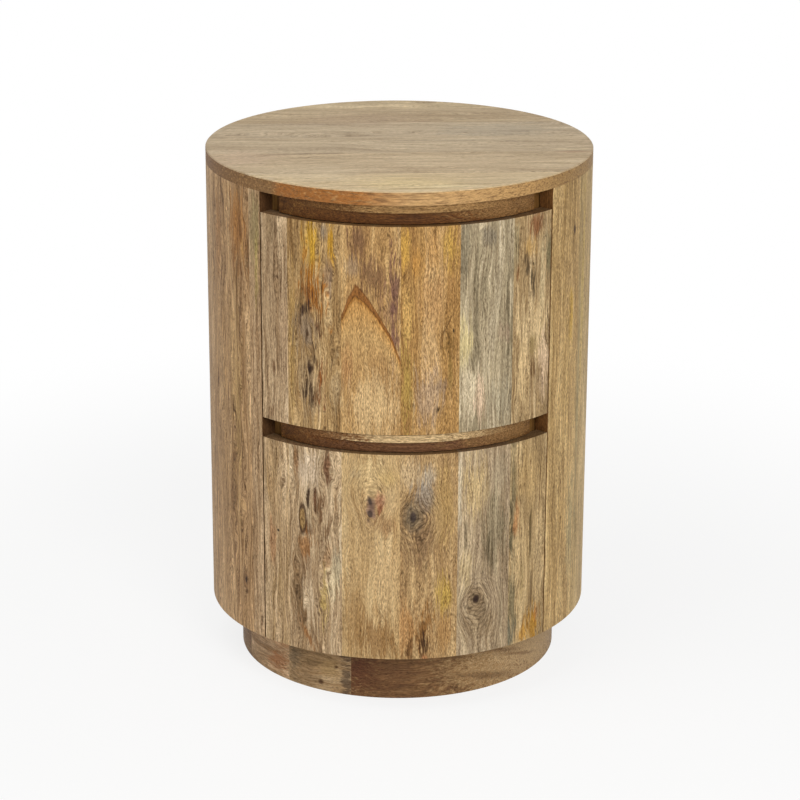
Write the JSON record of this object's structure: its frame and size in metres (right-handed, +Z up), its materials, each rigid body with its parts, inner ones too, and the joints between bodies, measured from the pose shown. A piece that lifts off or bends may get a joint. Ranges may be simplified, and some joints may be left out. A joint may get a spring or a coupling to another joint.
{
  "type": "round nightstand",
  "caption": "Round wooden bedside table with a coopered stave shell, curved drawers opened by finger grooves and a set-back plinth.",
  "frame": {"origin": "centre of the plinth's underside, on the floor", "axes": "+Z up along the axis of the drum, -Y out of the middle of the drawer fronts, +X to the right seen from the front"},
  "size_m": [0.4, 0.4, 0.55],
  "materials": {
    "top_wood": "satin lacquer",
    "stave_wood": "satin lacquer",
    "rail_wood": "satin lacquer",
    "plinth_wood": "satin lacquer",
    "inner_wood": "sanded, unlacquered",
    "screw_steel": "zinc plated"
  },
  "bodies": {
    "cabinet": {"bottom_panel": "inner_wood", "lower_runner_left": "inner_wood", "lower_runner_right": "inner_wood", "middle_rail": "rail_wood", "partition_left": "inner_wood", "partition_right": "inner_wood", "plinth_segment_01": "plinth_wood", "plinth_segment_02": "plinth_wood", "plinth_segment_03": "plinth_wood", "plinth_segment_04": "plinth_wood", "plinth_segment_05": "plinth_wood", "plinth_segment_06": "plinth_wood", "plinth_segment_07": "plinth_wood", "plinth_segment_08": "plinth_wood", "plinth_segment_09": "plinth_wood", "plinth_segment_10": "plinth_wood", "plinth_segment_11": "plinth_wood", "plinth_segment_12": "plinth_wood", "plinth_segment_13": "plinth_wood", "plinth_segment_14": "plinth_wood", "runner_screws": "screw_steel", "shell_stave_01": "stave_wood", "shell_stave_02": "stave_wood", "shell_stave_03": "stave_wood", "shell_stave_04": "stave_wood", "shell_stave_05": "stave_wood", "shell_stave_06": "stave_wood", "shell_stave_07": "stave_wood", "shell_stave_08": "stave_wood", "shell_stave_09": "stave_wood", "shell_stave_10": "stave_wood", "shell_stave_11": "stave_wood", "shell_stave_12": "stave_wood", "shell_stave_13": "stave_wood", "shell_stave_14": "stave_wood", "top_panel": "top_wood", "top_rail": "rail_wood", "upper_runner_left": "inner_wood", "upper_runner_right": "inner_wood"},
    "upper_drawer": {"upper_drawer_back": "inner_wood", "upper_drawer_floor": "inner_wood", "upper_drawer_side_left": "inner_wood", "upper_drawer_side_right": "inner_wood", "upper_front_stave_1": "stave_wood", "upper_front_stave_2": "stave_wood", "upper_front_stave_3": "stave_wood", "upper_front_stave_4": "stave_wood", "upper_front_stave_5": "stave_wood", "upper_front_stave_6": "stave_wood"},
    "lower_drawer": {"lower_drawer_back": "inner_wood", "lower_drawer_floor": "inner_wood", "lower_drawer_side_left": "inner_wood", "lower_drawer_side_right": "inner_wood", "lower_front_stave_1": "stave_wood", "lower_front_stave_2": "stave_wood", "lower_front_stave_3": "stave_wood", "lower_front_stave_4": "stave_wood", "lower_front_stave_5": "stave_wood", "lower_front_stave_6": "stave_wood"}
  },
  "joints": [
    {"name": "upper_drawer_slide", "type": "slide", "parent": "cabinet", "child": "upper_drawer", "axis": [0, -1, 0], "range_m": [0, 0.18]},
    {"name": "lower_drawer_slide", "type": "slide", "parent": "cabinet", "child": "lower_drawer", "axis": [0, -1, 0], "range_m": [0, 0.18]}
  ]
}
